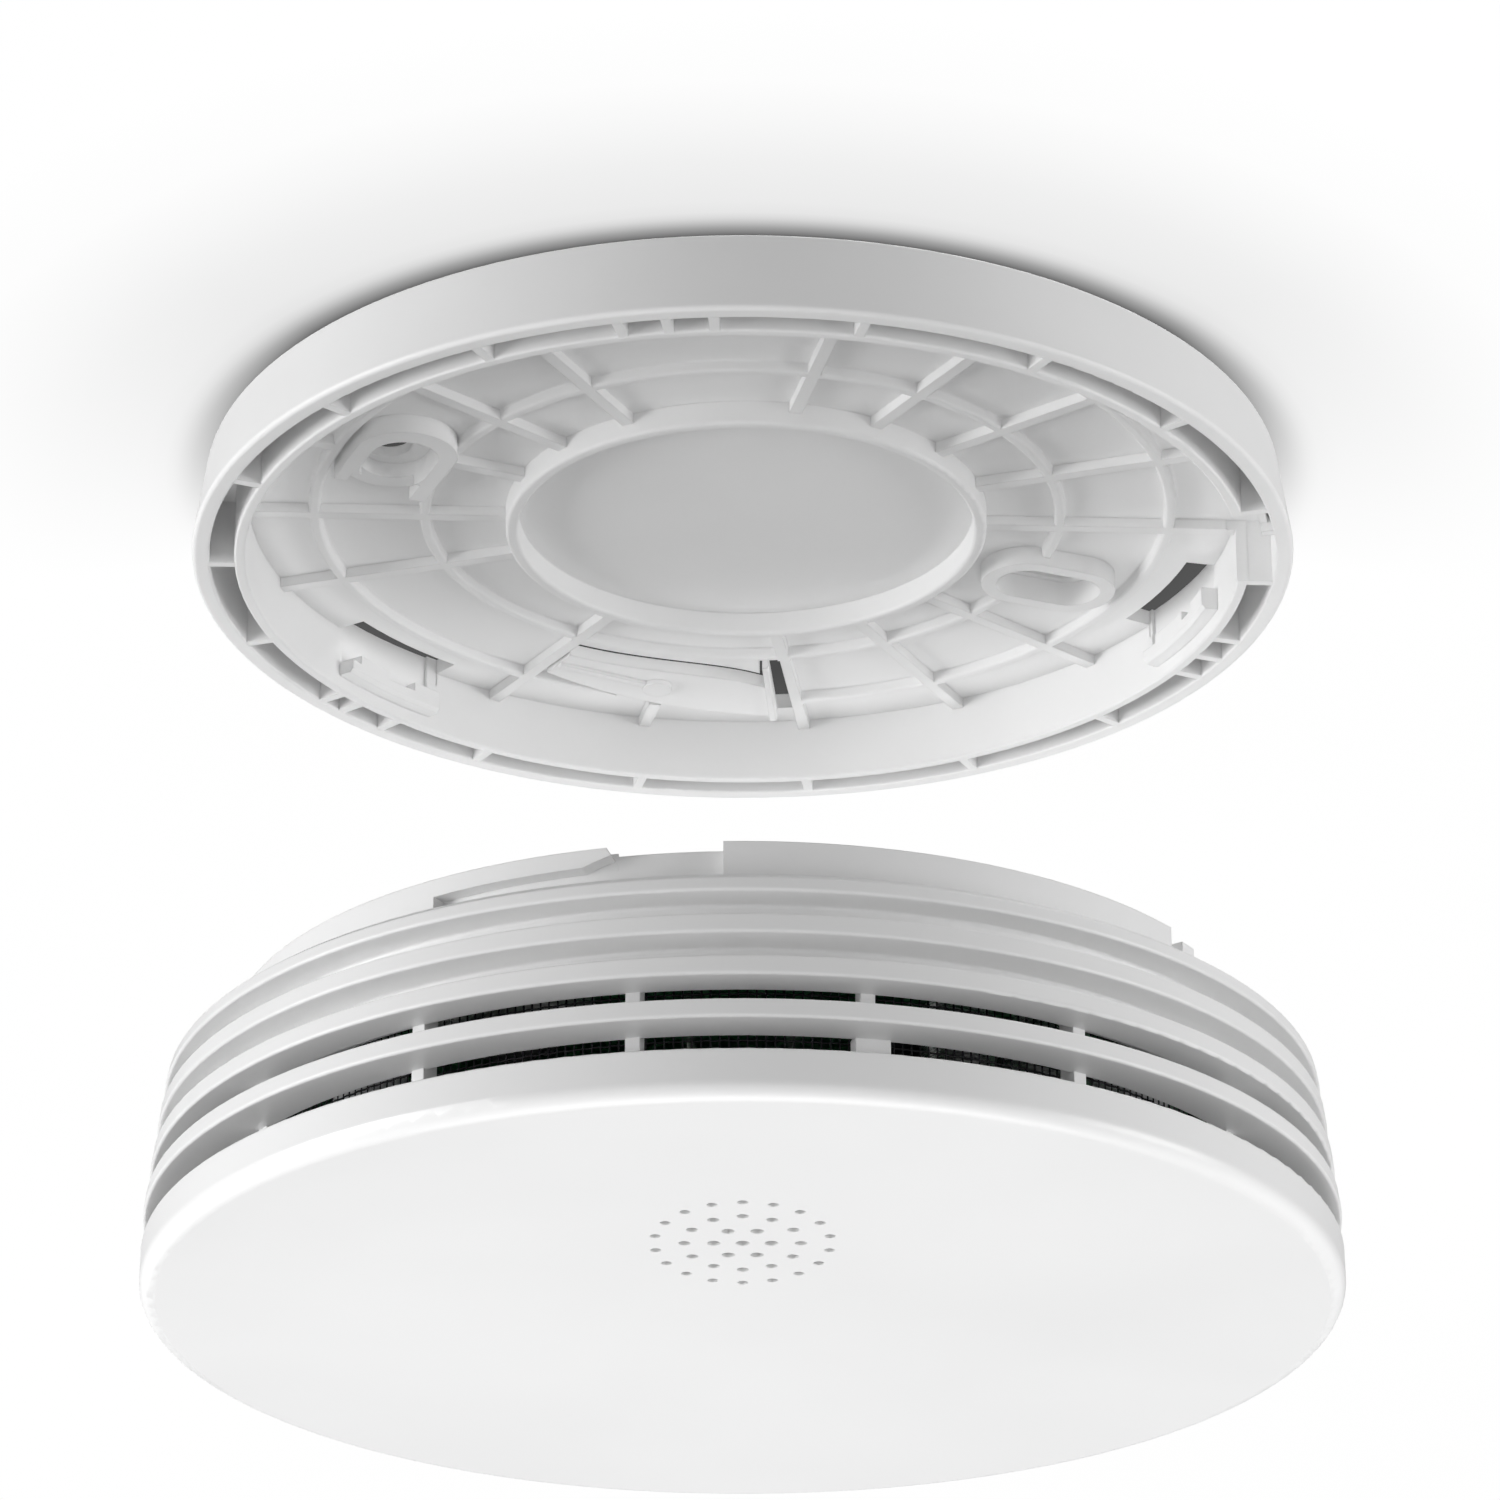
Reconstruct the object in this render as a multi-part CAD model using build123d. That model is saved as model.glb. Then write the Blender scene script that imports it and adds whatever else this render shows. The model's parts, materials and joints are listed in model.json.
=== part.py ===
from build123d import *
import math
import os

# Ceiling smoke detector: a round mounting base and a detector head that hangs
# below it, drawn apart by the lift travel.  Millimetres, +Z up.  The origin is
# the centre of the base's ceiling face, and everything hangs below z = 0.

# ---------------------------------------------------------------- dimensions
LIFT = 54.7            # travel of the head up into the base
TWIST = 21.0           # bayonet turn, degrees
A0 = -22.3             # angle of the face's "up" layout about Z, degrees

# base
BASE_R_TOP = 53.0      # outer radius at the ceiling
BASE_R_RIM = 54.2      # outer radius at the open rim
BASE_H = 8.3           # depth of the base
WALL_RI = 52.4         # inner face of the outer wall
RING_RO, RING_RI = 50.0, 48.9   # inner ring that takes the head's collar
FLOOR = 1.6            # floor thickness
RIB_Z = -2.65          # lower edge of floor ribs
RIB_W = 1.25
ORIB = (41.7, 42.9)    # outer ring rib
MRIB = (30.85, 31.95)  # middle ring rib
CEN_RI, CEN_RO, CEN_Z = 22.55, 23.75, -4.0  # upstanding rim round the centre disc
CEN_X = 0.35           # the rim's offset in the face layout
BOSS_Z = -3.6

# bayonet lugs: start and end angles
LUG_A = (-9.6, 7.4)
LUG_B = (109.6, 125.5)
LUG_C = (235.0, 245.0)
LUG_RI = 47.2
LUG_Z0, LUG_Z1 = -6.9, -5.55
TOOTH_Z = -4.6

# head levels
COL_TOP = -58.35       # top of the collar pads
COL_WALL_TOP = -58.6
COL_RI, COL_RM, COL_RO = 45.8, 46.95, 48.5
SEAT_Z = -68.0         # ledge the rear housing stands on
BACK_Z1, BACK_Z0 = -61.6, -63.4
FIN_ROOT = 51.2
WALL_IN = 49.9
PLATE_Z1, PLATE_Z0 = -80.6, -82.2   # front chassis plate
PLATE_R = 51.8
COVER_R = 56.1
COVER_TOP = -80.8
FACE_Z = -85.3
FACE_T = 1.8
PCB_Z1, PCB_Z0 = -65.0, -66.6
PRESS = 0.5            # travel of the front cover

# interior places (x, y)
SCREWS = [(40.0 * math.cos(math.radians(a)), 40.0 * math.sin(math.radians(a))) for a in (70, 190, 310)]
CHAMBER = (-17.5, 19.5)
SWITCH = (7.0, 0.5)
CELL = (25.0, 5.0)     # battery axis runs along Y
CELL_Z = -70.3
CELL_R, CELL_L = 8.5, 34.5


def turn(x, y, a=A0):
    c, s = math.cos(math.radians(a)), math.sin(math.radians(a))
    return (x * c - y * s, x * s + y * c)


SOUND = turn(0.0, -19.6)
LED = turn(0.0, 8.0)


# ---------------------------------------------------------------- helpers
def pt(r, deg, z=0.0):
    a = math.radians(deg)
    return (r * math.cos(a), r * math.sin(a), z)


def cyl(r, z0, z1, x=0.0, y=0.0):
    return Pos(x, y, min(z0, z1)) * extrude(Circle(r), abs(z1 - z0))


def ring(ro, ri, z0, z1, x=0.0, y=0.0):
    return Pos(x, y, min(z0, z1)) * extrude(Circle(ro) - Circle(ri), abs(z1 - z0))


def block(x0, x1, y0, y1, z0, z1):
    return Pos((x0 + x1) / 2, (y0 + y1) / 2, (z0 + z1) / 2) * Box(abs(x1 - x0), abs(y1 - y0), abs(z1 - z0))


def rblock(x0, x1, y0, y1, z0, z1, r):
    f = RectangleRounded(x1 - x0, y1 - y0, r)
    return Pos((x0 + x1) / 2, (y0 + y1) / 2, z0) * extrude(f, z1 - z0)


def slot(cx, cy, length, width, z0, z1, along="x"):
    f = SlotOverall(length, width, rotation=0 if along == "x" else 90)
    return Pos(cx, cy, min(z0, z1)) * extrude(f, abs(z1 - z0))


def sector(ri, ro, a0, a1, z0, z1):
    z = min(z0, z1)
    m = (a0 + a1) / 2
    e = [Line(pt(ri, a0), pt(ro, a0)), ThreePointArc(pt(ro, a0), pt(ro, m), pt(ro, a1)),
         Line(pt(ro, a1), pt(ri, a1)), ThreePointArc(pt(ri, a1), pt(ri, m), pt(ri, a0))]
    return Pos(0, 0, z) * extrude(Face(Wire(e)), abs(z1 - z0))


def radial(r0, r1, deg, w, z0, z1):
    """A straight rib of width w along the radius at angle deg."""
    return Rot(0, 0, deg) * block(r0, r1, -w / 2, w / 2, z0, z1)


def rev(points):
    """Solid of revolution from (r, z, corner radius) points."""
    n = len(points)
    pts = [(p[0], p[1]) for p in points]
    rad = [p[2] if len(p) > 2 else 0.0 for p in points]
    ins, outs, mids = [], [], []
    for i in range(n):
        p, a, b = pts[i], pts[i - 1], pts[(i + 1) % n]
        if rad[i] <= 0:
            ins.append(p); outs.append(p); mids.append(None)
            continue
        ua = (a[0] - p[0], a[1] - p[1]); la = math.hypot(*ua); ua = (ua[0] / la, ua[1] / la)
        ub = (b[0] - p[0], b[1] - p[1]); lb = math.hypot(*ub); ub = (ub[0] / lb, ub[1] / lb)
        half = math.acos(max(-1, min(1, ua[0] * ub[0] + ua[1] * ub[1]))) / 2
        t = rad[i] / math.tan(half)
        bis = (ua[0] + ub[0], ua[1] + ub[1]); lbs = math.hypot(*bis); bis = (bis[0] / lbs, bis[1] / lbs)
        d = rad[i] / math.sin(half)
        c = (p[0] + bis[0] * d, p[1] + bis[1] * d)
        ins.append((p[0] + ua[0] * t, p[1] + ua[1] * t))
        outs.append((p[0] + ub[0] * t, p[1] + ub[1] * t))
        mids.append((c[0] - bis[0] * rad[i], c[1] - bis[1] * rad[i]))
    v = lambda q: (q[0], 0, q[1])
    edges = []
    for i in range(n):
        if mids[i] is not None:
            edges.append(ThreePointArc(v(ins[i]), v(mids[i]), v(outs[i])))
        j = (i + 1) % n
        if math.dist(outs[i], ins[j]) > 1e-6:
            edges.append(Line(v(outs[i]), v(ins[j])))
    return revolve(Face(Wire(edges)), Axis.Z, 360)


os.makedirs("parts", exist_ok=True)
written = []


def save(name, shape):
    export_step(shape if isinstance(shape, Compound) or isinstance(shape, Solid) else Compound(shape), "parts/%s.step" % name)
    written.append(name)


# ================================================================ base plate
base = rev([
    (0, 0), (BASE_R_TOP, 0, 0.2), (BASE_R_RIM, -BASE_H, 0.45), (WALL_RI, -BASE_H, 0.2), (WALL_RI, -FLOOR),
    (RING_RO, -FLOOR), (RING_RO, -BASE_H, 0.25), (RING_RI, -BASE_H, 0.2), (RING_RI, -FLOOR),
    (ORIB[1], -FLOOR, 0.15), (ORIB[1] - 0.08, RIB_Z, 0.3), (ORIB[0] + 0.08, RIB_Z, 0.3), (ORIB[0], -FLOOR, 0.15),
    (MRIB[1], -FLOOR, 0.15), (MRIB[1] - 0.08, RIB_Z, 0.3), (MRIB[0] + 0.08, RIB_Z, 0.3), (MRIB[0], -FLOOR, 0.15),
    (0, -FLOOR),
])
# upstanding rim round the centre disc
add = [Pos(*turn(CEN_X, 0.0), 0) * rev([(CEN_RO + 0.08, -1.0), (CEN_RO, CEN_Z, 0.4), (CEN_RI, CEN_Z, 0.4), (CEN_RI - 0.08, -1.0)])]
# radial floor ribs every 20 degrees
for k in range(18):
    a = 20 * k
    if a in (0, 120, 240):
        continue
    if a == 80:
        add.append(radial(42.3, 49.3, a, RIB_W, RIB_Z, -1.0))
        continue
    if a == 180:
        add.append(radial(23.1, 31.4, a + 1.5, RIB_W, RIB_Z, -1.0))
        add.append(radial(42.3, 49.3, a, RIB_W, RIB_Z, -1.0))
        continue
    add.append(radial(23.15, 49.3, a, RIB_W, RIB_Z, -1.0))
# webs between the outer wall and the inner ring
webs = [20 * k for k in range(18) if 20 * k != 320] + [322.6]
for c in (0, 118.6, 240):
    webs += [c - 4.9, c + 4.8]
for a in webs:
    add.append(radial(49.6, 52.9, a, 0.95, -BASE_H + 0.05, -1.0))
# step piece in the break of the inner ring
add.append(sector(51.2, 52.9, 327.3, 328.3, -BASE_H + 0.05, -1.0))
add.append(sector(51.1, 51.9, 323.0, 328.3, -BASE_H + 1.0, -1.0))
base = base + add
# break in the inner ring
base = base - sector(48.0, 50.6, 323.1, 340.0 - 0.6, -BASE_H - 1, -FLOOR)

# screw boss with a radial slot
base = base + slot(33.3, 0, 14.0, 9.0, BOSS_Z, -1.0)
base = base - slot(33.3, 0, 10.9, 6.1, BOSS_Z - 1, -1.0)
base = base - slot(33.3, 0, 8.9, 4.6, -2.0, 1.0)
# screw boss with a crosswise slot
BX, BY = -36.2, -0.7
bossb = slot(BX, BY, 13.8, 10.0, BOSS_Z, -1.0, "y")
bossb = bossb - block(BX - 6, BX + 6, BY + 3.4, BY + 8, BOSS_Z - 1, -2.55)
bossb = bossb + [block(BX + 3.35, BX + 4.95, BY - 3.0, BY + 6.6, BOSS_Z, -1.0),
                 block(BX - 4.9, BX - 3.6, BY - 3.0, BY + 5.2, BOSS_Z, -1.0)]
base = base + bossb
base = base - slot(BX, BY, 9.6, 6.6, BOSS_Z - 1, -1.0, "y")
base = base - slot(BX - 0.8, BY, 7.0, 4.5, -2.0, 1.0, "y")

# bayonet lugs on the inner ring, each under a window in the floor
lugs, wins = [], []
for (a0, a1), teeth in ((LUG_A, ((-9.6, -5.6), (-2.6, 4.6))), (LUG_B, ((109.7, 113.8), (118.4, 123.8))), (LUG_C, ())):
    lugs.append(sector(LUG_RI, 49.6, a0, a1, LUG_Z0, LUG_Z1))
    for t0, t1 in teeth:
        lugs.append(sector(LUG_RI, 49.6, t0, t1, LUG_Z1 - 0.2, TOOTH_Z))
for a0, a1 in ((-8.7, 8.8), (108.6, 125.6), (233.4, 246.6)):
    wins.append(sector(46.0, 48.97, a0, a1, -3.0, 1.0))
# the ring is thinned behind each lug
for a0, a1 in ((-8.2, 8.3), (110.1, 125.1), (233.9, 246.1)):
    wins.append(sector(47.0, 49.3, a0, a1, LUG_Z0 + 0.3, 1.0))
base = base - wins
lug = lugs[0] + lugs[1:]
# sloping lower inner edge of the lugs
lug = lug - rev([(LUG_RI - 1, LUG_Z0 - 0.1), (LUG_RI + 0.45, LUG_Z0 - 0.1), (LUG_RI - 0.05, LUG_Z0 + 0.5), (LUG_RI - 1, LUG_Z0 + 0.5)])
base = base + lug

# latch finger and the cut round it
LR = 98.6              # root angle
LE = 63.15             # free end angle
fing = [pt(34.8, LR), pt(34.9, 80.0), pt(35.4, 71.0), pt(36.6, 66.0), pt(38.4, LE + 0.4), pt(45.2, LE + 0.2), pt(44.6, 68.0),
        pt(43.2, 76.0), pt(41.4, 86.0), pt(39.6, LR)]


def spline_face(inner, outer, a=0.0):
    """Face between an inner and an outer smooth edge."""
    e = [Spline(*inner), Line(inner[-1], outer[-1]), Spline(*outer[::-1]), Line(outer[0], inner[0])]
    return Face(Wire(e))


inner = [pt(34.8, LR), pt(34.8, 88.0), pt(35.0, 78.0), pt(35.9, 70.0), pt(38.2, LE + 0.3)]
outer = [pt(39.6, LR), pt(41.0, 90.0), pt(42.4, 81.0), pt(43.7, 72.0), pt(45.0, LE + 0.3)]
inner_c = [pt(34.3, LR + 0.2), pt(34.3, 88.0), pt(34.5, 78.0), pt(35.4, 70.0), pt(37.7, LE + 0.2)]
outer_c = [pt(40.1, LR + 0.2), pt(41.55, 90.0), pt(42.99, 81.0), pt(44.25, 72.0), pt(45.6, LE + 0.2)]
cut = [Pos(0, 0, -5) * extrude(spline_face(inner_c, outer_c), 6.5), sector(31.95, 45.6, 60.75, 64.9, -5, 1)]
# the outer ring rib stops short on both sides of the finger
base = base - sector(41.3, 43.4, 78.4, 86.0, -BASE_H, -FLOOR)
base = base - cut
base = base.solids().sort_by(SortBy.VOLUME)[-1]
save("base_plate", base)

FT, FB = -1.5, -2.85
finger = Pos(0, 0, FB) * extrude(spline_face(inner, outer), FT - FB)
finger = finger + [
    sector(32.3, 45.2, LE - 0.15, LE + 0.95, -3.3, FT),              # catch bar at the free end
    cyl(1.55, FB - 0.55, FT, *pt(38.3, 81.2)[:2]),                    # round pip
]
# stiffening rib from the root to the pip
ra, rb = pt(37.1, LR - 0.2), pt(38.3, 81.2)
rib = Plane(origin=((ra[0] + rb[0]) / 2, (ra[1] + rb[1]) / 2, FB - 0.35),
            x_dir=(rb[0] - ra[0], rb[1] - ra[1], 0), z_dir=(0, 0, 1)) * extrude(Rectangle(math.dist(ra[:2], rb[:2]), 0.9), 1.0)
finger = finger + rib
# bevel on the catch bar's leading corner
finger = finger - Rot(0, 0, LE - 0.15) * Pos(0, 0, 0) * extrude(
    Plane.YZ.offset(30) * Polygon((-0.6, -3.9), (0.55, -3.9), (-0.6, -2.1), align=None), 20)
finger = finger.solids().sort_by(SortBy.VOLUME)[-1]
save("latch_finger", finger)

# ================================================================ rear housing
rear = rev([
    (0, BACK_Z1), (COL_RI, BACK_Z1, 0.3), (COL_RI, COL_WALL_TOP, 0.15), (COL_RM, COL_WALL_TOP, 0.15), (COL_RM, -63.7),
    (COL_RO, -63.7), (COL_RO, SEAT_Z), (46.1, SEAT_Z), (46.1, BACK_Z0), (0, BACK_Z0),
])
# collar pads that run in the base's ring; the gaps are the lug entries
PADS = [(8.2, 108.7), (126.3, 234.2), (245.7, 301.0), (303.2, 305.7), (322.0, 349.6)]
pads = []
for i, (a0, a1) in enumerate(PADS):
    top = COL_TOP if i != 3 else COL_TOP - 0.75
    pads.append(sector(COL_RM - 0.3, COL_RO - 0.03, a0, a1, -63.9, top))
# ramp under the tip of the near hook
ra0, ra1 = 230.7, 234.4
n0, n1 = pt(1, (ra0 + ra1) / 2)[:2], None
rampdir = (ra0 + ra1) / 2
hw = COL_RO * math.radians((ra1 - ra0) / 2)
ramp = Rot(0, 0, rampdir) * Pos(COL_RM, 0, 0) * extrude(
    Plane.YZ * Polygon((-hw, -60.06), (hw, -60.06), (hw, -58.95), align=None), 2.0)
tip = Rot(0, 0, ra1 - 0.2) * Pos(COL_RM, 0, 0) * extrude(
    Plane.YZ * Polygon((0.1, -59.7), (0.6, -59.7), (0.6, -58.2), (-0.75, -58.2), align=None), 2.0)
rear = rear + pads
rear = rear - [ring(COL_RO + 2, COL_RM, -63.7, -59.15) & sector(44, 52, 87.7, 108.9, -63.7, -59.15),
               ring(COL_RO + 2, COL_RM, -63.7, -59.15) & sector(44, 52, 328.7, 349.8, -63.7, -59.15),
               ring(COL_RO + 2, COL_RM, -63.7, -60.05) & sector(44, 52, 213.2, 234.4, -63.7, -60.05)]
rear = rear - [ramp, tip]

# battery bay: a tub open at the back
bx0, bx1 = CELL[0] - CELL_R - 0.3, CELL[0] + CELL_R + 0.3
by0, by1 = CELL[1] - CELL_L / 2 - 1.9, CELL[1] + CELL_L / 2 + 1.9
tub_z = CELL_Z - CELL_R - 0.3
rear = rear + block(bx0 - 1.2, bx1 + 1.2, by0 - 1.2, by1 + 1.2, tub_z - 1.2, BACK_Z0 + 0.3)
rear = rear - block(bx0, bx1, by0, by1, tub_z, BACK_Z1 + 1)
# rails for the sliding battery door
DX0, DX1, DY0, DY1 = bx0 - 1.0, bx1 + 1.0, by0 - 0.9, by1 + 0.9
DTRAV = 11.0
RAIL = 1.35
rail = []
for sgn, xe in ((-1, DX0 - 0.12), (1, DX1 + 0.12)):
    xo = xe + sgn * RAIL
    rail.append(block(min(xe, xo), max(xe, xo), DY0 - DTRAV * 0.55, DY1 + 0.8, BACK_Z1 - 0.2, -60.45))
    lipi = xe - sgn * 0.75
    rail.append(block(min(lipi, xo), max(lipi, xo), DY0 - 1.0, DY1 + 0.8, -60.95, -60.45))
rail.append(block(DX0 - 1.4, DX1 + 1.4, DY1 + 0.12, DY1 + 1.2, BACK_Z1 - 0.2, -60.6))
rear = rear + rail
# lock tooth that passes the latch finger's catch bar
tooth = sector(37.6, 43.0, 43.6, 46.0, BACK_Z1 - 0.2, -57.8)
rear = rear + tooth
# stiffening ribs on the back, clear of the door and the label
ribs = [radial(40.6, 46.0, a, 1.1, BACK_Z1 - 0.2, -59.6) for a in (90, 118, 146, 174, 206, 234, 262, 290, 340, 0, 15)]
rear = rear + ribs
# screw seats
for (sx, sy) in SCREWS:
    rear = rear + ring(4.2, 3.1, BACK_Z1 - 0.2, -60.5, sx, sy)
    rear = rear - cyl(1.75, BACK_Z0 - 1, BACK_Z1 + 1, sx, sy)
    rear = rear - cyl(3.1, BACK_Z1 - 0.15, BACK_Z1 + 2, sx, sy)
rear = rear.solids().sort_by(SortBy.VOLUME)[-1]
save("rear_housing", rear)

# ================================================================ battery door
dz0, dz1 = BACK_Z1 + 0.06, -61.05
door = rblock(DX0, DX1, DY0, DY1, dz0, dz1, 0.8)
door = door + rblock(DX0 + 1.3, DX1 - 1.3, DY0, DY1, dz0, -60.55, 0.8)
# thumb grip: grooves across the door's outer face
grooves = [block(CELL[0] - 5.5, CELL[0] + 5.5, DY0 + 3.0 + 1.6 * i, DY0 + 3.75 + 1.6 * i, -60.85, -60.0) for i in range(5)]
door = door - grooves
save("battery_door", door)

# ================================================================ louvre housing
louv = rev([
    (48.8, -63.65, 0.1), (53.35, -63.65, 0.25), (54.25, -64.3, 0.25), (54.5, -65.6, 0.28), (FIN_ROOT, -65.6, 0.3),
    (FIN_ROOT, -67.9, 0.3), (54.8, -67.9, 0.15), (55.0, -69.7, 0.28), (FIN_ROOT, -69.7, 0.3),
    (FIN_ROOT, -72.0, 0.3), (55.3, -72.0, 0.15), (55.5, -73.8, 0.28), (51.7, -73.8, 0.12), (51.7, -72.9), (WALL_IN, -72.9),
    (WALL_IN, SEAT_Z - 1.4), (45.6, SEAT_Z - 1.4), (45.6, SEAT_Z), (WALL_IN - 0.9, SEAT_Z), (48.8, SEAT_Z + 0.6),
])
fin4 = rev([(51.5, -76.2, 0.1), (55.8, -76.2, 0.15), (56.0, -77.95, 0.28), (51.5, -77.95, 0.1)])
plate = cyl(PLATE_R, PLATE_Z0, PLATE_Z1)
struts = []
for k in range(16):
    a = 214.7 + 22.5 * k
    struts.append(radial(50.0, 51.95, a, 1.3, PLATE_Z0 + 0.2, -72.6))
struts.append(radial(50.0, 51.95, 260.2, 3.1, PLATE_Z0 + 0.2, -77.6))
louv = louv + ([fin4, plate] + struts)
# pillars for the housing screws; the shoulder carries the circuit board
pil = []
for (sx, sy) in SCREWS:
    pil.append(cyl(3.4, PLATE_Z1 - 0.3, PCB_Z0, sx, sy))
    pil.append(cyl(2.3, PCB_Z0 - 0.3, BACK_Z0 - 0.05, sx, sy))
# locating wall round the sounder and a guide for the test plunger
pil.append(ring(18.4, 17.3, PLATE_Z1 - 0.3, -78.6, *SOUND))
pil.append(ring(3.9, 2.2, PLATE_Z1 - 0.3, -78.0, *SWITCH))
pil.append(ring(3.3, 2.2, PLATE_Z1 - 0.3, -79.0, *LED))
louv = louv + pil
holes = [cyl(1.15, -76.5, BACK_Z0 + 1, sx, sy) for (sx, sy) in SCREWS]
holes += [cyl(9.6, PLATE_Z0 - 1, PLATE_Z1 + 0.1, *SOUND), cyl(2.2, PLATE_Z0 - 1, PLATE_Z1 + 1, *SWITCH),
          cyl(2.2, PLATE_Z0 - 1, PLATE_Z1 + 1, *LED)]
CLIPS = (40, 160, 280)
for a in CLIPS:
    holes.append(Rot(0, 0, a) * block(43.4, 46.6, -3.0, 3.0, PLATE_Z0 - 1, PLATE_Z1 + 1))
louv = louv - holes
louv = louv.solids().sort_by(SortBy.VOLUME)[-1]
save("louvre_housing", louv)

# ================================================================ front cover
cover = rev([
    (54.6, COVER_TOP, 0.2), (COVER_R - 0.05, COVER_TOP, 0.3), (COVER_R, FACE_Z, 1.5), (0, FACE_Z),
    (0, FACE_Z + FACE_T), (54.6, FACE_Z + FACE_T, 0.6),
])
# clips that reach through the chassis plate
clips = []
for a in CLIPS:
    c = block(44.2, 45.4, -2.0, 2.0, FACE_Z + 1.0, -79.5) + block(43.7, 45.4, -2.0, 2.0, -80.1, -79.5)
    clips.append(Rot(0, 0, a) * c)
cover = cover + clips
# thinned spot under the light pipe
cover = cover - cyl(2.6, FACE_Z + 0.8, FACE_Z + FACE_T + 0.5, *LED)
# sound holes: a centre hole and three oval rings of 6, 12 and 18
hole_cyl = []


def sound_hole(x, y, r):
    X, Y = turn(x, y - 19.6)
    hole_cyl.append(cyl(r, FACE_Z - 1, FACE_Z + FACE_T + 1, X, Y))


sound_hole(0.0, 0.0, 0.62)
for k in range(6):
    a = math.radians(60 * k)
    sound_hole(2.6 * math.cos(a), 3.6 * math.sin(a), 0.6)
for k in range(12):
    a = math.radians(30 * k)
    sound_hole(5.26 * math.cos(a), 7.04 * math.sin(a), 0.53)
for k in range(18):
    a = math.radians(20 * k + 10)
    sound_hole(8.0 * math.cos(a), 10.6 * math.sin(a), 0.48)
cover = cover - hole_cyl
save("front_cover", cover.solids().sort_by(SortBy.VOLUME)[-1])

# ================================================================ insect screen
save("insect_screen", ring(48.8, 48.3, PLATE_Z1 + 0.3, -72.0))

# ================================================================ circuit board
pcb = cyl(45.7, PCB_Z0, PCB_Z1)
pcb = pcb - ([block(bx0 - 1.7, bx1 + 1.7, by0 - 1.7, by1 + 1.7, PCB_Z0 - 1, PCB_Z1 + 1)]
             + [cyl(2.5, PCB_Z0 - 1, PCB_Z1 + 1, sx, sy) for (sx, sy) in SCREWS])
save("main_circuit_board", pcb.solids().sort_by(SortBy.VOLUME)[-1])

# ================================================================ sensing chamber
cx, cy = CHAMBER
CH_TOP, CH_BOT = -66.7, -79.8
ch_base = cyl(18.6, -68.4, CH_TOP, cx, cy)
# holders for the two light parts, aimed across each other
E_ANG, D_ANG = 200.0, 335.0
hold = []
for a in (E_ANG, D_ANG):
    hold.append(Pos(cx, cy, 0) * Rot(0, 0, a) * block(6.5, 14.0, -3.9, 3.9, -75.4, -68.2))
ch_base = ch_base + hold
bores = []
for a in (E_ANG, D_ANG):
    q = Pos(cx, cy, -72.0) * Rot(0, 0, a)
    bores.append(q * Pos(8.0, 0, 0) * Rot(0, 90, 0) * extrude(Circle(2.65), 7.0))
    bores.append(q * Pos(6.0, 0, 0) * Rot(0, 90, 0) * extrude(Circle(1.4), 3.0))
    bores.append(q * block(14.0, 14.9, -1.75, 1.75, -1, 7))
ch_base = ch_base - bores
save("chamber_base", ch_base.solids().sort_by(SortBy.VOLUME)[-1])
# cap with a ring of light-trap vanes
ch_cap = cyl(18.6, CH_BOT, CH_BOT + 1.3, cx, cy)
vanes = []
for k in range(20):
    a = 18.0 * k
    v = Pos(cx, cy, 0) * Rot(0, 0, a) * Pos(17.4, 0, (CH_BOT + 1.1 - 68.5) / 2) * Rot(0, 0, 52)
    vanes.append(v * Box(3.6, 0.8, -68.5 - (CH_BOT + 1.1)))
ch_cap = ch_cap + vanes
trim = ring(25, 18.9, CH_BOT - 1, -68, cx, cy)
ch_cap = ch_cap - trim
save("chamber_cap", ch_cap.solids().sort_by(SortBy.VOLUME)[-1])


def lamp(a, name):
    p = Pos(cx, cy, -72.0) * Rot(0, 0, a)
    body = p * Pos(13.2, 0, 0) * Rot(0, -90, 0) * rev([
        (0, 5.15), (2.45, 5.15, 2.4), (2.45, 0), (2.58, 0), (2.58, -0.9), (0, -0.9)])
    legs = [p * block(14.0, 14.6, s - 0.25, s + 0.25, -0.25, 5.3) for s in (-1.27, 1.27)]
    save(name, (body + legs).solids().sort_by(SortBy.VOLUME)[-1])


lamp(E_ANG, "infrared_emitter")
lamp(D_ANG, "light_receiver")

# ================================================================ sounder
sx, sy = SOUND
snd = rev([(17.1, PLATE_Z1 + 0.02), (17.1, -74.6, 0.8), (0, -74.6), (0, -75.8), (15.7, -75.8), (15.7, -78.4), (14.9, -78.4), (14.9, PLATE_Z1 + 0.02)])
snd = Pos(sx, sy, 0) * snd
for s in (-5.0, 5.0):
    snd = snd - cyl(0.95, -77, -74, sx + s, sy)
snd = snd - cyl(1.0, -77, -74, sx, sy + 9)
save("sounder_housing", snd.solids().sort_by(SortBy.VOLUME)[-1])
piezo = cyl(15.5, -78.38, -78.08, sx, sy) + cyl(10.5, -78.08, -77.8, sx, sy)
save("piezo_disc", piezo.solids().sort_by(SortBy.VOLUME)[-1])
springs = []
for s in (-5.0, 5.0):
    springs.append(cyl(0.6, -77.78, PCB_Z0 - 0.02, sx + s, sy))
save("sounder_contacts", Compound(children=[Compound(c) if not isinstance(c, Solid) else c for c in springs]))
save("sounder_gasket", ring(11.6, 9.8, -82.85, PLATE_Z0 - 0.01, sx, sy))

# ================================================================ light pipe, status lamp
lx, ly = LED
pipe = cyl(1.95, FACE_Z + 1.45 + PRESS, -68.1, lx, ly) + cyl(2.9, -78.9, -78.0, lx, ly)
save("light_pipe", pipe.solids().sort_by(SortBy.VOLUME)[-1])
save("status_lamp", block(lx - 1.6, lx + 1.6, ly - 1.4, ly + 1.4, -67.9, PCB_Z0 - 0.01))

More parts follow.
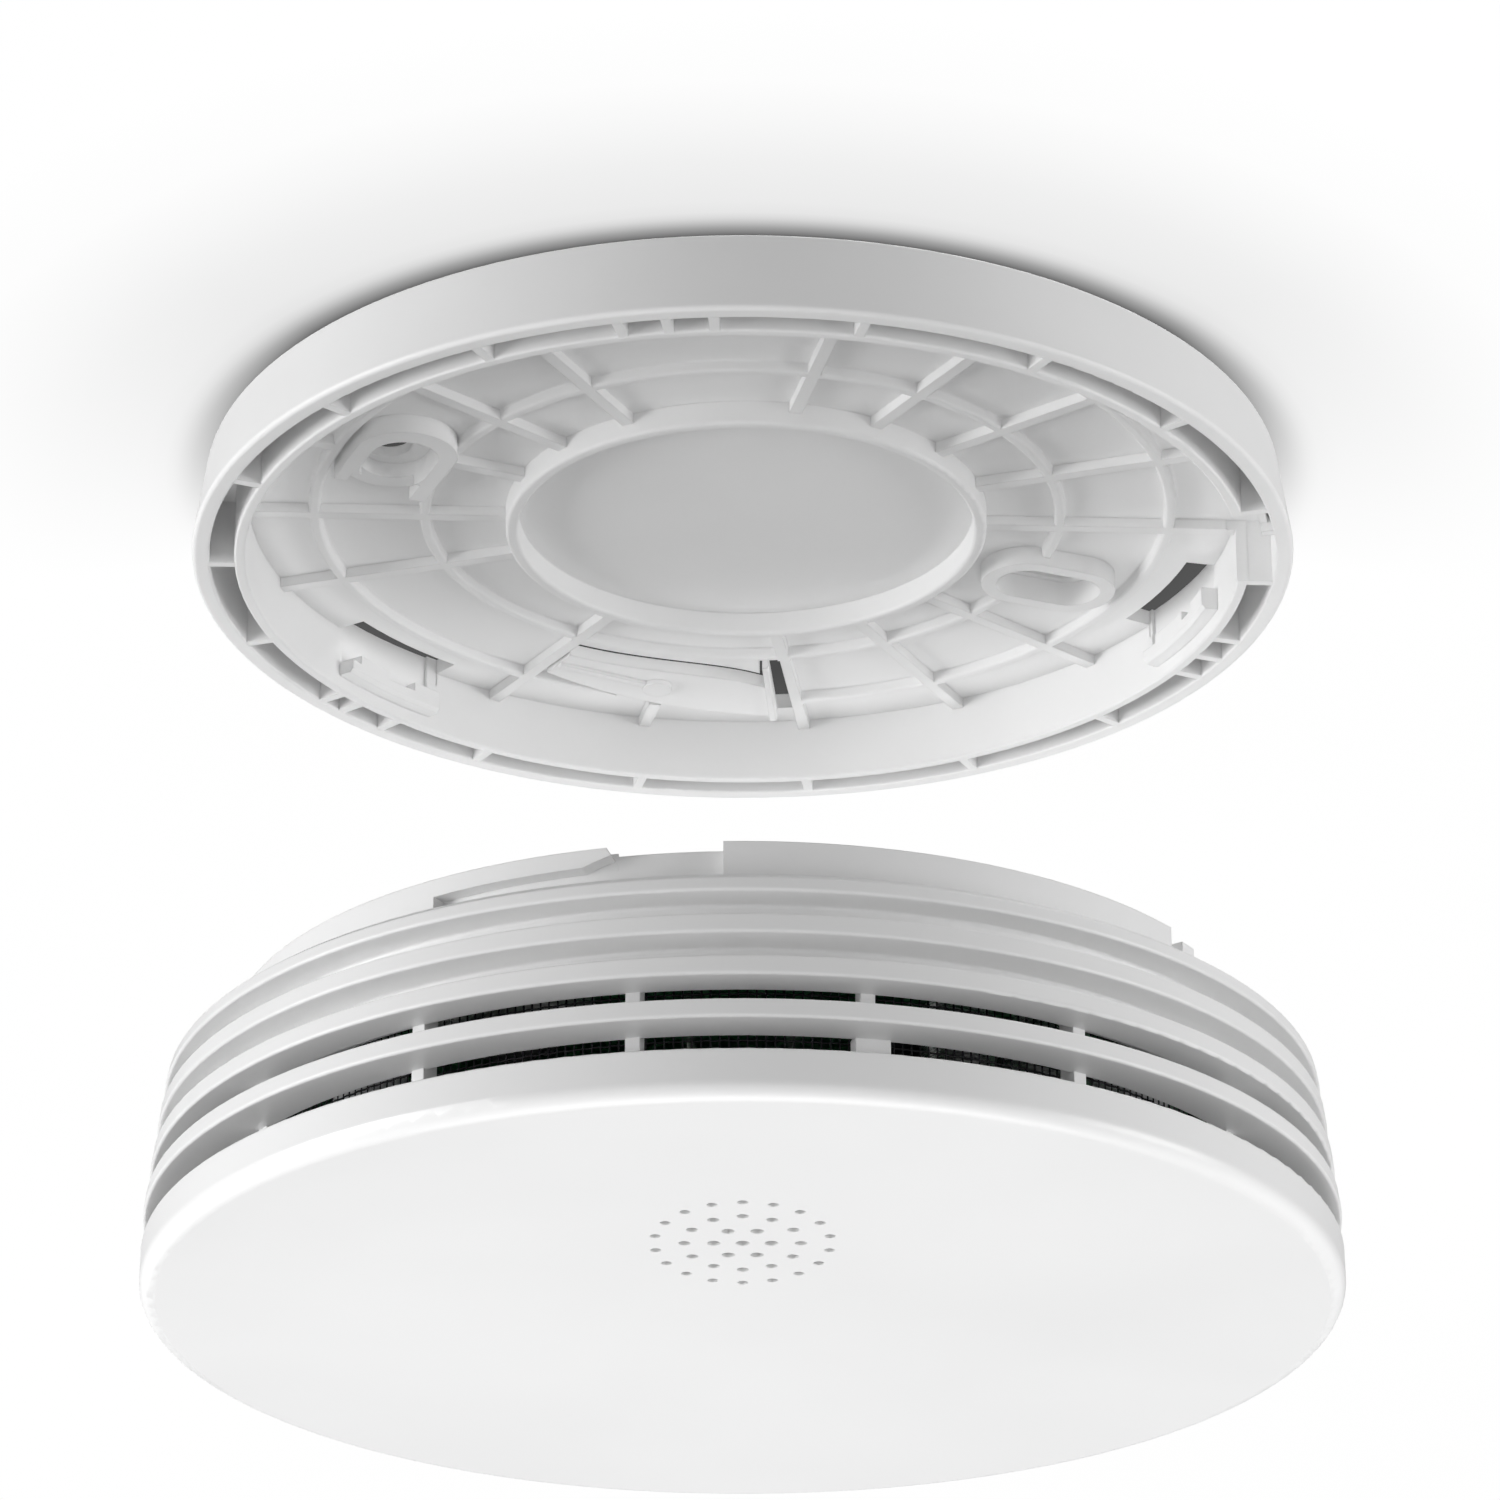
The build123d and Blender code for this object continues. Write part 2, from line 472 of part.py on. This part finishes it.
# ================================================================ test switch and plunger
tx, ty = SWITCH
sw = block(tx - 3, tx + 3, ty - 3, ty + 3, -70.1, PCB_Z0 - 0.01) + cyl(1.75, -70.5, -70.0, tx, ty)
save("test_switch", sw.solids().sort_by(SortBy.VOLUME)[-1])
pl = cyl(1.9, FACE_Z + FACE_T + 0.05, -71.2, tx, ty) + cyl(3.0, -77.3, -76.3, tx, ty)
save("test_plunger", pl.solids().sort_by(SortBy.VOLUME)[-1])

# ================================================================ battery and contacts
bat = Pos(CELL[0], CELL[1] - CELL_L / 2, CELL_Z) * Rot(-90, 0, 0) * extrude(Circle(CELL_R), CELL_L - 1.2)
bat = bat + Pos(CELL[0], CELL[1] + CELL_L / 2 - 1.3, CELL_Z) * Rot(-90, 0, 0) * extrude(Circle(3.2), 1.3)
save("battery_cell", bat.solids().sort_by(SortBy.VOLUME)[-1])
cpos = block(CELL[0] - 5, CELL[0] + 5, by1 - 0.5, by1 - 0.05, CELL_Z - 6, PCB_Z0 - 0.05) \
    + Pos(CELL[0], by1 - 1.75, CELL_Z) * Rot(-90, 0, 0) * extrude(Circle(3.0), 1.4)
save("battery_contact_plus", cpos.solids().sort_by(SortBy.VOLUME)[-1])
cneg = block(CELL[0] - 5, CELL[0] + 5, by0 + 0.05, by0 + 0.5, CELL_Z - 6, PCB_Z0 - 0.05)
for r_, y0_, y1_ in ((4.4, 0.45, 0.85), (3.3, 0.8, 1.3), (2.2, 1.25, 1.8)):
    cneg = cneg + Pos(CELL[0], by0 + y0_, CELL_Z) * Rot(-90, 0, 0) * extrude(Circle(r_) - Circle(r_ - 1.2), y1_ - y0_)
save("battery_contact_minus", cneg.solids().sort_by(SortBy.VOLUME)[-1])

# ================================================================ parts on the board
zc = PCB_Z0 - 0.01
save("radio_module", (rblock(-36, -24, -24, -12, zc - 0.8, zc, 0.4) + rblock(-35.2, -26.4, -23.2, -12.8, zc - 2.4, zc - 0.7, 0.5)).solids().sort_by(SortBy.VOLUME)[-1])
ant = sector(43.2, 44.2, 222, 272, zc - 1.0, zc) + sector(41.0, 44.2, 221.2, 222.6, zc - 1.0, zc)
save("antenna", ant.solids().sort_by(SortBy.VOLUME)[-1])
chip = block(-6.2, 2.2, -10.2, -1.8, zc - 1.5, zc - 0.2)
pins = []
for i in range(8):
    t = -9.3 + 0.95 * i
    pins += [block(-7.4, -6.1, t - 0.2, t + 0.2, zc - 0.5, zc), block(2.1, 3.4, t - 0.2, t + 0.2, zc - 0.5, zc)]
save("controller_chip", (chip + pins).solids().sort_by(SortBy.VOLUME)[-1])
ind = cyl(4.0, zc - 1.0, zc, 6.0, -23.0) + [cyl(2.6, zc - 5.0, zc - 0.9, 6.0, -23.0), cyl(4.0, zc - 6.0, zc - 4.9, 6.0, -23.0)]
save("boost_coil", ind.solids().sort_by(SortBy.VOLUME)[-1])
caps = []
for (x, y) in ((14.5, -33.0), (6.5, -34.5)):
    caps.append(cyl(3.1, zc - 7.0, zc, x, y).solids()[0])
save("capacitors", Compound(children=caps))

# ================================================================ screws and label
scr = []
for (x, y) in SCREWS:
    s = cyl(2.75, BACK_Z1 - 0.14, -60.35, x, y) + cyl(1.12, -75.5, BACK_Z1 - 0.1, x, y)
    s = s - [Pos(x, y, -60.35 - 0.45) * Box(3.2, 0.7, 0.95), Pos(x, y, -60.35 - 0.45) * Box(0.7, 3.2, 0.95)]
    scr.append(s.solids().sort_by(SortBy.VOLUME)[-1])
save("housing_screws", Compound(children=scr))
save("rear_label", rblock(-33, 7, -12, 20, BACK_Z1 + 0.01, BACK_Z1 + 0.13, 3.0))

print(len(written), "nodes")
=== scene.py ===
import bpy, bmesh, json, math
from mathutils import Vector, Matrix


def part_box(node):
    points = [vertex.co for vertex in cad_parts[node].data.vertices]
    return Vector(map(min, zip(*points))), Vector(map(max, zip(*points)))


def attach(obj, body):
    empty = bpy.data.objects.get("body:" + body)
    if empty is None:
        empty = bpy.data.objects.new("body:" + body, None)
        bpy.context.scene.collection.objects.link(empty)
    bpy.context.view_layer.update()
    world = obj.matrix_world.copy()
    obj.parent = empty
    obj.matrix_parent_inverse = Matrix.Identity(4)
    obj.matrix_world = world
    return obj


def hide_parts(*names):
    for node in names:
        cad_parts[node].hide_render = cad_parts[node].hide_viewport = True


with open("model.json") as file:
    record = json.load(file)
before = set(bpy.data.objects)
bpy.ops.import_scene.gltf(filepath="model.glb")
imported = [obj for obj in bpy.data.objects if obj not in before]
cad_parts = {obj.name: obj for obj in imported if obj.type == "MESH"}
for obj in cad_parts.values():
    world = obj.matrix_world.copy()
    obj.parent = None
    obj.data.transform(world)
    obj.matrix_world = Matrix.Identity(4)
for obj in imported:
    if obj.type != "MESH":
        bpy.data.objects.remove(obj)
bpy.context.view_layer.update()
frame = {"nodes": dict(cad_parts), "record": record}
scene = bpy.context.scene
NODES = frame["nodes"]
A0 = math.radians(-22.3)          # the face layout's turn about Z
MM = 0.001


def turned(x, y, z=0.0):
    """A point given in the face layout's own axes, in the row frame."""
    c, s = math.cos(A0), math.sin(A0)
    return Vector((x * c - y * s, x * s + y * c, z))


# ------------------------------------------------------------------ camera
cam_data = bpy.data.cameras.new("camera")
cam = bpy.data.objects.new("camera", cam_data)
scene.collection.objects.link(cam)
cam.location = turned(0.0, -0.527656, -0.269361)
cam.rotation_euler = (math.radians(114.639), 0.0, A0)
cam_data.lens = 143.255
cam_data.sensor_width = 36.0
cam_data.shift_x = 0.00495
cam_data.clip_start = 0.01
cam_data.clip_end = 50.0
scene.camera = cam
scene.view_settings.view_transform = "Standard"


# ------------------------------------------------------------------ node helpers
class Mat:
    def __init__(self, name):
        self.m = bpy.data.materials.new(name)
        self.m.use_nodes = True
        self.t = self.m.node_tree
        self.n = self.t.nodes
        self.n.clear()
        self.out = self.n.new("ShaderNodeOutputMaterial")
        self.b = self.n.new("ShaderNodeBsdfPrincipled")
        self.link(self.b.outputs[0], self.out.inputs[0])
        self.co = self.n.new("ShaderNodeTexCoord").outputs["Object"]

    def link(self, a, b):
        self.t.links.new(a, b)

    def set(self, **kw):
        names = {"color": "Base Color", "rough": "Roughness", "metal": "Metallic", "spec": "Specular IOR Level", "ior": "IOR",
                 "coat": "Coat Weight", "coat_rough": "Coat Roughness", "sss": "Subsurface Weight", "sss_scale": "Subsurface Scale",
                 "trans": "Transmission Weight", "alpha": "Alpha", "emit": "Emission Color", "emit_s": "Emission Strength", "sheen": "Sheen Weight",
                 "aniso": "Anisotropic"}
        for k, v in kw.items():
            s = self.b.inputs[names[k]]
            s.default_value = (*v, 1.0) if isinstance(v, tuple) and len(v) == 3 else v
        return self

    def noise(self, scale, detail=2.0, rough=0.5, vec=None, dist=0.0):
        n = self.n.new("ShaderNodeTexNoise")
        n.inputs["Scale"].default_value = scale
        n.inputs["Detail"].default_value = detail
        n.inputs["Roughness"].default_value = rough
        n.inputs["Distortion"].default_value = dist
        self.link(vec or self.co, n.inputs["Vector"])
        return n.outputs["Fac"]

    def voronoi(self, scale, feature="F1", vec=None, out="Distance"):
        n = self.n.new("ShaderNodeTexVoronoi")
        n.feature = feature
        n.inputs["Scale"].default_value = scale
        self.link(vec or self.co, n.inputs["Vector"])
        return n.outputs[out]

    def math(self, op, a, b=None, c=None, clamp=False):
        n = self.n.new("ShaderNodeMath")
        n.operation = op
        n.use_clamp = clamp
        for i, v in enumerate((a, b, c)):
            if v is None:
                continue
            if isinstance(v, (int, float)):
                n.inputs[i].default_value = v
            else:
                self.link(v, n.inputs[i])
        return n.outputs[0]

    def ramp(self, fac, stops):
        n = self.n.new("ShaderNodeValToRGB")
        e = n.color_ramp.elements
        while len(e) < len(stops):
            e.new(0.5)
        for i, (p, c) in enumerate(stops):
            e[i].position = p
            e[i].color = (*c, 1.0) if len(c) == 3 else c
        self.link(fac, n.inputs[0])
        return n.outputs[0]

    def remap(self, v, a, b, c, d):
        n = self.n.new("ShaderNodeMapRange")
        for i, x in enumerate((a, b, c, d)):
            n.inputs[i + 1].default_value = x
        self.link(v, n.inputs[0])
        return n.outputs[0]

    def mix(self, fac, a, b):
        n = self.n.new("ShaderNodeMix")
        n.data_type = "RGBA"
        if isinstance(fac, (int, float)):
            n.inputs[0].default_value = fac
        else:
            self.link(fac, n.inputs[0])
        for i, v in ((6, a), (7, b)):
            if isinstance(v, tuple):
                n.inputs[i].default_value = (*v, 1.0)
            else:
                self.link(v, n.inputs[i])
        return n.outputs[2]

    def xyz(self, vec=None):
        n = self.n.new("ShaderNodeSeparateXYZ")
        self.link(vec or self.co, n.inputs[0])
        return n.outputs

    def stretch(self, scale):
        n = self.n.new("ShaderNodeMapping")
        n.inputs["Scale"].default_value = scale
        self.link(self.co, n.inputs["Vector"])
        return n.outputs[0]

    def color(self, sock):
        self.link(sock, self.b.inputs["Base Color"])

    def rough(self, sock):
        self.link(sock, self.b.inputs["Roughness"])

    def bump(self, heights, edge=None, samples=4):
        """heights: [(socket, strength, distance)], each over the last. edge: radius of a worn, rounded edge."""
        normal = None
        if edge:
            e = self.n.new("ShaderNodeBevel")
            e.samples = samples
            e.inputs["Radius"].default_value = edge
            normal = e.outputs[0]
        for h, strength, dist in heights:
            n = self.n.new("ShaderNodeBump")
            n.inputs["Strength"].default_value = strength
            n.inputs["Distance"].default_value = dist
            self.link(h, n.inputs["Height"])
            if normal:
                self.link(normal, n.inputs["Normal"])
            normal = n.outputs[0]
        self.link(normal, self.b.inputs["Normal"])
        return self


def plastic(name, col, rough=(0.36, 0.46), grain=2600.0, grain_h=0.000012, edge=0.0002, tone=0.02, sss=0.0):
    """Injection-moulded plastic: a fine spark-eroded grain, slow flow marks in tone and gloss, softened edges."""
    m = Mat(name)
    m.set(spec=0.42, ior=1.49)
    slow = m.noise(38.0, 3.0, 0.55)
    fine = m.noise(grain, 2.0, 0.6)
    speck = m.noise(420.0, 2.0, 0.5)
    lo = tuple(max(0.0, c * (1 - tone)) for c in col)
    hi = tuple(min(1.0, c * (1 + tone * 0.5)) for c in col)
    m.color(m.ramp(slow, [(0.32, lo), (0.68, hi)]))
    both = m.math("ADD", m.math("MULTIPLY", slow, 0.6), m.math("MULTIPLY", speck, 0.4))
    m.rough(m.remap(both, 0.35, 0.65, rough[0], rough[1]))
    if sss:
        m.set(sss=sss, sss_scale=0.0012)
        m.b.inputs["Subsurface Radius"].default_value = (1.0, 0.9, 0.8)
    m.bump([(fine, 0.35, grain_h), (slow, 0.15, 0.00004)], edge=edge)
    return m.m


def metal(name, col, rough=(0.25, 0.4), brushed=(1, 1, 1), edge=0.0001):
    m = Mat(name)
    m.set(metal=1.0)
    v = m.stretch(brushed)
    streak = m.noise(900.0, 3.0, 0.6, vec=v)
    blot = m.noise(240.0, 3.0, 0.6)
    m.color(m.ramp(blot, [(0.3, tuple(c * 0.88 for c in col)), (0.7, col)]))
    m.rough(m.remap(streak, 0.3, 0.7, rough[0], rough[1]))
    m.bump([(streak, 0.2, 0.00001)], edge=edge, samples=3)
    return m.m


M = {}
M["base_white"] = plastic("base_white", (0.88, 0.88, 0.88), rough=(0.40, 0.50), edge=0.00022)
M["shell_white"] = plastic("shell_white", (0.90, 0.90, 0.90), rough=(0.34, 0.44), edge=0.00016)
M["black_plastic"] = plastic("black_plastic", (0.022, 0.022, 0.024), rough=(0.45, 0.6), grain=1800.0, grain_h=0.00003, edge=0.00012)
M["chamber_black"] = plastic("chamber_black", (0.012, 0.012, 0.013), rough=(0.6, 0.75), grain=1500.0, grain_h=0.00004, edge=0.00012)
M["gasket_rubber"] = plastic("gasket_rubber", (0.03, 0.03, 0.031), rough=(0.8, 0.9), grain=2600.0, grain_h=0.00006, edge=0.0001)


# the front face: the same plastic, finer and smoother
def face_plastic():
    m = Mat("face_white")
    m.set(spec=0.45, ior=1.49)
    slow = m.noise(22.0, 3.0, 0.5)
    fine = m.noise(3200.0, 2.0, 0.6)
    m.color(m.ramp(slow, [(0.3, (0.905, 0.905, 0.905)), (0.7, (0.93, 0.93, 0.93))]))
    m.rough(m.remap(slow, 0.35, 0.65, 0.30, 0.38))
    m.bump([(fine, 0.25, 0.000008), (slow, 0.1, 0.00003)], edge=0.0002)
    return m.m


M["face_white"] = face_plastic()
M["mesh_steel"] = metal("mesh_steel", (0.055, 0.055, 0.058), rough=(0.5, 0.65))
M["spring_steel"] = metal("spring_steel", (0.74, 0.73, 0.70), rough=(0.2, 0.32), brushed=(1, 8, 1))
M["screw_steel"] = metal("screw_steel", (0.68, 0.68, 0.66), rough=(0.25, 0.4))
M["piezo_brass"] = metal("piezo_brass", (0.80, 0.60, 0.28), rough=(0.25, 0.38), brushed=(6, 1, 1))
M["shield_can"] = metal("shield_can", (0.76, 0.76, 0.75), rough=(0.28, 0.4), brushed=(8, 1, 1))
M["capacitor_can"] = metal("capacitor_can", (0.72, 0.72, 0.72), rough=(0.22, 0.34), brushed=(1, 1, 8))


def board():
    m = Mat("board_green")
    m.set(spec=0.5, coat=0.35, coat_rough=0.18)
    # copper runs under the resist: a square-ish cell pattern
    x, y, z = m.xyz()
    v = m.voronoi(260.0, "DISTANCE_TO_EDGE")
    run = m.math("LESS_THAN", v, 0.07)
    slow = m.noise(120.0, 2.0)
    base = m.ramp(slow, [(0.3, (0.012, 0.10, 0.035)), (0.7, (0.018, 0.13, 0.045))])
    m.color(m.mix(run, base, (0.05, 0.24, 0.09)))
    m.rough(m.remap(slow, 0.3, 0.7, 0.28, 0.38))
    m.bump([(run, 0.4, 0.00003)], edge=0.0001)
    return m.m


M["board_green"] = board()


def clear(name, col, rough, dark=False):
    m = Mat(name)
    m.set(trans=0.9, ior=1.49)
    n = m.noise(700.0, 2.0)
    m.color(m.ramp(n, [(0.3, tuple(c * 0.94 for c in col)), (0.7, col)]))
    m.rough(m.remap(n, 0.3, 0.7, rough, rough + 0.08))
    return m.m


M["clear_plastic"] = clear("clear_plastic", (0.93, 0.95, 0.96), 0.05)
M["tinted_lens"] = clear("tinted_lens", (0.05, 0.03, 0.09), 0.06)
M["lamp_body"] = plastic("lamp_body", (0.85, 0.82, 0.62), rough=(0.2, 0.3), edge=0.0001)
M["chip_black"] = plastic("chip_black", (0.028, 0.028, 0.03), rough=(0.5, 0.62), grain=2200.0, grain_h=0.00003, edge=0.00008)
M["label_paper"] = None


def wrap():
    m = Mat("cell_wrap")
    m.set(coat=0.6, coat_rough=0.08)
    x, y, z = m.xyz()
    n = m.noise(60.0, 3.0)
    band = m.math("GREATER_THAN", y, (5.0 + 34.5 / 2 - 8.0) * MM)
    tip = m.math("GREATER_THAN", y, (5.0 + 34.5 / 2 - 1.25) * MM)
    c = m.mix(band, m.ramp(n, [(0.3, (0.05, 0.16, 0.30)), (0.7, (0.06, 0.19, 0.34))]), m.ramp(n, [(0.3, (0.62, 0.63, 0.64)), (0.7, (0.70, 0.71, 0.72))]))
    m.color(m.mix(tip, c, (0.75, 0.74, 0.70)))
    m.link(tip, m.b.inputs["Metallic"])
    m.rough(m.remap(n, 0.3, 0.7, 0.25, 0.36))
    m.bump([(n, 0.2, 0.00005)], edge=0.0002)
    return m.m


M["cell_wrap"] = wrap()


def label():
    """A blank rating label: plain film with no lettering."""
    m = Mat("label_paper")
    m.set(spec=0.4)
    n = m.noise(900.0, 3.0)
    slow = m.noise(60.0, 2.0)
    m.color(m.ramp(slow, [(0.3, (0.70, 0.71, 0.72)), (0.7, (0.76, 0.77, 0.78))]))
    m.rough(m.remap(n, 0.3, 0.7, 0.38, 0.5))
    m.bump([(n, 0.25, 0.00001)])
    return m.m


M["label_paper"] = label()

slots = {s["node"]: s["material_slot"] for s in frame["record"]["subparts"]}
for name, ob in NODES.items():
    mat = M[slots[name]]
    if not ob.material_slots:
        ob.data.materials.append(mat)
    for s in ob.material_slots:
        s.material = mat


# ------------------------------------------------------------------ pieces
def make(name, bm, mat, body, smooth=True):
    me = bpy.data.meshes.new(name)
    bmesh.ops.recalc_face_normals(bm, faces=bm.faces)
    bm.to_mesh(me)
    bm.free()
    me.materials.append(mat)
    for p in me.polygons:
        p.use_smooth = smooth
    ob = bpy.data.objects.new(name, me)
    scene.collection.objects.link(ob)
    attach(ob, body)
    return ob


def tube(bm, pts, r, sides=5, closed=False):
    """A round wire along pts."""
    n = len(pts)
    rings = []
    for i, p in enumerate(pts):
        a = pts[(i - 1) % n] if (closed or i > 0) else p
        b = pts[(i + 1) % n] if (closed or i < n - 1) else p
        t = (b - a).normalized()
        up = Vector((0, 0, 1)) if abs(t.z) < 0.9 else Vector((p.x, p.y, 0)).normalized()
        u = t.cross(up).normalized()
        w = u.cross(t)
        rings.append([bm.verts.new(p + (u * math.cos(2 * math.pi * k / sides) + w * math.sin(2 * math.pi * k / sides)) * r) for k in range(sides)])
    last = n if closed else n - 1
    for i in range(last):
        q, s = rings[i], rings[(i + 1) % n]
        for k in range(sides):
            bm.faces.new((q[k], q[(k + 1) % sides], s[(k + 1) % sides], s[k]))
    if not closed:
        bm.faces.new(rings[0][::-1])
        bm.faces.new(rings[-1])


# the woven insect screen behind the slots
lo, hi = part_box("insect_screen")
bm = bmesh.new()
R = 48.55 * MM
COUNT, ROWS = 380, 12
z0, z1 = lo.z + 0.00015, hi.z - 0.00015
for j in range(ROWS):
    z = z0 + (z1 - z0) * j / (ROWS - 1)
    pts = []
    for i in range(COUNT):
        a = 2 * math.pi * (i + 0.5) / COUNT
        rr = R + (0.00009 if (i + j) % 2 else -0.00009)
        pts.append(Vector((rr * math.cos(a), rr * math.sin(a), z)))
    tube(bm, pts, 0.00009, 4, True)
for i in range(COUNT):
    a = 2 * math.pi * i / COUNT
    pts = []
    for j in range(ROWS):
        z = z0 + (z1 - z0) * j / (ROWS - 1)
        pts.append(Vector((R * math.cos(a), R * math.sin(a), z)))
    tube(bm, pts, 0.00009, 4, False)
screen = make("woven_screen", bm, M["mesh_steel"], "screen")
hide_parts("insect_screen")

# ------------------------------------------------------------------ stage
def stage_mat(name, build):
    m = bpy.data.materials.new(name)
    m.use_nodes = True
    t = m.node_tree
    t.nodes.clear()
    out = t.nodes.new("ShaderNodeOutputMaterial")
    t.links.new(build(t), out.inputs[0])
    return m


def ceiling_shader(t):
    """White ceiling that glows by emission, with painted shadow: a radial ramp paints the soft shadow round the base,
    darkest where it touches and heaviest on the near side, and painted shade darkens the ceiling behind the base.
    """
    def maths(op, x, y=None, clamp=False):
        n = t.nodes.new("ShaderNodeMath")
        n.operation = op
        n.use_clamp = clamp
        for i, v in enumerate((x, y)):
            if v is None:
                continue
            if isinstance(v, (int, float)):
                n.inputs[i].default_value = v
            else:
                t.links.new(v, n.inputs[i])
        return n.outputs[0]
    co = t.nodes.new("ShaderNodeTexCoord").outputs["Object"]
    sx = t.nodes.new("ShaderNodeSeparateXYZ")
    t.links.new(co, sx.inputs[0])
    r = maths("SQRT", maths("ADD", maths("MULTIPLY", sx.outputs[0], sx.outputs[0]), maths("MULTIPLY", sx.outputs[1], sx.outputs[1])))
    # painted shadow weight: full on the near side of the base, falling off towards the sides and the back
    front = maths("ADD", maths("MULTIPLY", sx.outputs[0], math.sin(A0)), maths("MULTIPLY", sx.outputs[1], -math.cos(A0)))
    lean = maths("DIVIDE", front, maths("MAXIMUM", r, 0.001))
    k = maths("ADD", maths("MULTIPLY", lean, 1.1), 0.28, True)
    # painted shade: the ceiling behind the base is darkened fully, so the windows and gaps look dark
    under_base_painted_shade = maths("LESS_THAN", r, 0.0522)
    k = maths("MAXIMUM", k, under_base_painted_shade)
    ramp = t.nodes.new("ShaderNodeValToRGB")
    # painted contact shadow by radius in mm: dark behind the base, darkest at its rim, fading to white by 92 mm
    stops = [(40.0, 0.07), (52.6, 0.10), (53.4, 0.24), (54.2, 0.36), (55.0, 0.52), (56.0, 0.70), (57.0, 0.79), (59.0, 0.83),
             (66.0, 0.87), (73.0, 0.93), (80.0, 0.98), (92.0, 1.0)]
    e = ramp.color_ramp.elements
    while len(e) < len(stops):
        e.new(0.5)
    for i, (p, v) in enumerate(stops):
        e[i].position = p / 100.0
        e[i].color = (v, v, v, 1.0)
    t.links.new(maths("MULTIPLY", r, 10.0), ramp.inputs[0])
    grain = t.nodes.new("ShaderNodeTexNoise")
    grain.inputs["Scale"].default_value = 6.0
    t.links.new(co, grain.inputs["Vector"])
    painted_shadow_mix = t.nodes.new("ShaderNodeMix")
    painted_shadow_mix.data_type = "RGBA"
    t.links.new(k, painted_shadow_mix.inputs[0])
    painted_shadow_mix.inputs[6].default_value = (1.0, 1.0, 1.0, 1.0)
    t.links.new(ramp.outputs[0], painted_shadow_mix.inputs[7])
    # the ceiling glows by emission with the painted shadow in its colour, it is not lit
    e = t.nodes.new("ShaderNodeEmission")
    t.links.new(painted_shadow_mix.outputs[2], e.inputs["Color"])
    t.links.new(maths("ADD", maths("MULTIPLY", grain.outputs["Fac"], 0.02), 0.99), e.inputs["Strength"])
    g = t.nodes.new("ShaderNodeNewGeometry")
    tr = t.nodes.new("ShaderNodeBsdfTransparent")
    mx = t.nodes.new("ShaderNodeMixShader")
    t.links.new(g.outputs["Backfacing"], mx.inputs[0])
    t.links.new(e.outputs[0], mx.inputs[1])
    t.links.new(tr.outputs[0], mx.inputs[2])
    return mx.outputs[0]


def floor_shader(t):
    d = t.nodes.new("ShaderNodeBsdfDiffuse")
    d.inputs["Color"].default_value = (0.80, 0.80, 0.80, 1.0)
    e = t.nodes.new("ShaderNodeEmission")
    e.inputs["Color"].default_value = (1.0, 1.0, 1.0, 1.0)
    e.inputs["Strength"].default_value = 0.42
    a = t.nodes.new("ShaderNodeAddShader")
    t.links.new(d.outputs[0], a.inputs[0])
    t.links.new(e.outputs[0], a.inputs[1])
    return a.outputs[0]


def sheet(name, size, z, down, mat):
    bm = bmesh.new()
    n = 8
    grid = [[bm.verts.new((size * (i / n - 0.5), size * (j / n - 0.5), z)) for i in range(n + 1)] for j in range(n + 1)]
    for j in range(n):
        for i in range(n):
            f = [grid[j][i], grid[j][i + 1], grid[j + 1][i + 1], grid[j + 1][i]]
            bm.faces.new(f[::-1] if down else f)
    me = bpy.data.meshes.new(name)
    bm.to_mesh(me)
    bm.free()
    me.materials.append(mat)
    ob = bpy.data.objects.new(name, me)
    scene.collection.objects.link(ob)
    return ob


ceiling = sheet("ceiling", 12.0, 0.00005, True, stage_mat("ceiling_painted_shadow", ceiling_shader))
ceiling.visible_shadow = False
ceiling.visible_diffuse = False
ceiling.visible_glossy = False
ceiling.visible_transmission = False
floor = sheet("floor", 14.0, -2.3, False, stage_mat("floor_paint", floor_shader))
floor.visible_diffuse = False
floor.visible_glossy = False

# ------------------------------------------------------------------ light
world = bpy.data.worlds.new("studio")
scene.world = world
world.use_nodes = True
wt = world.node_tree
bg = wt.nodes["Background"]
bg.inputs["Color"].default_value = (1.0, 1.0, 1.0, 1.0)
# brighter from the room below than from the ceiling side
wco = wt.nodes.new("ShaderNodeTexCoord")
wxyz = wt.nodes.new("ShaderNodeSeparateXYZ")
wmap = wt.nodes.new("ShaderNodeMapRange")
for i, v in enumerate((-0.45, 0.35, 0.36, 0.20)):
    wmap.inputs[i + 1].default_value = v
wt.links.new(wco.outputs["Generated"], wxyz.inputs[0])
wt.links.new(wxyz.outputs[2], wmap.inputs[0])
wt.links.new(wmap.outputs[0], bg.inputs["Strength"])


def area(name, loc, aim, sx, sy, watts):
    d = bpy.data.lights.new(name, "AREA")
    d.shape = "RECTANGLE"
    d.size, d.size_y = sx, sy
    d.energy = watts
    o = bpy.data.objects.new(name, d)
    scene.collection.objects.link(o)
    p, q = turned(*loc), turned(*aim)
    o.location = p
    o.rotation_euler = (q - p).to_track_quat("-Z", "Y").to_euler()
    o.visible_camera = False
    return o


area("soft_left", (-0.90, -0.20, -0.18), (0, 0, -0.05), 0.5, 0.5, 7.0)
area("soft_right", (0.95, -0.24, -0.20), (0, 0, -0.05), 0.5, 0.5, 4.8)
area("soft_front", (0.0, -1.0, -0.42), (0, 0, -0.05), 0.9, 0.4, 0.95)
area("soft_above", (0.25, 0.30, 1.25), (0, 0, -0.02), 0.9, 0.9, 15.0)
area("soft_below", (0.04, 0.24, -1.10), (0, 0, -0.08), 0.8, 0.8, 6.6)
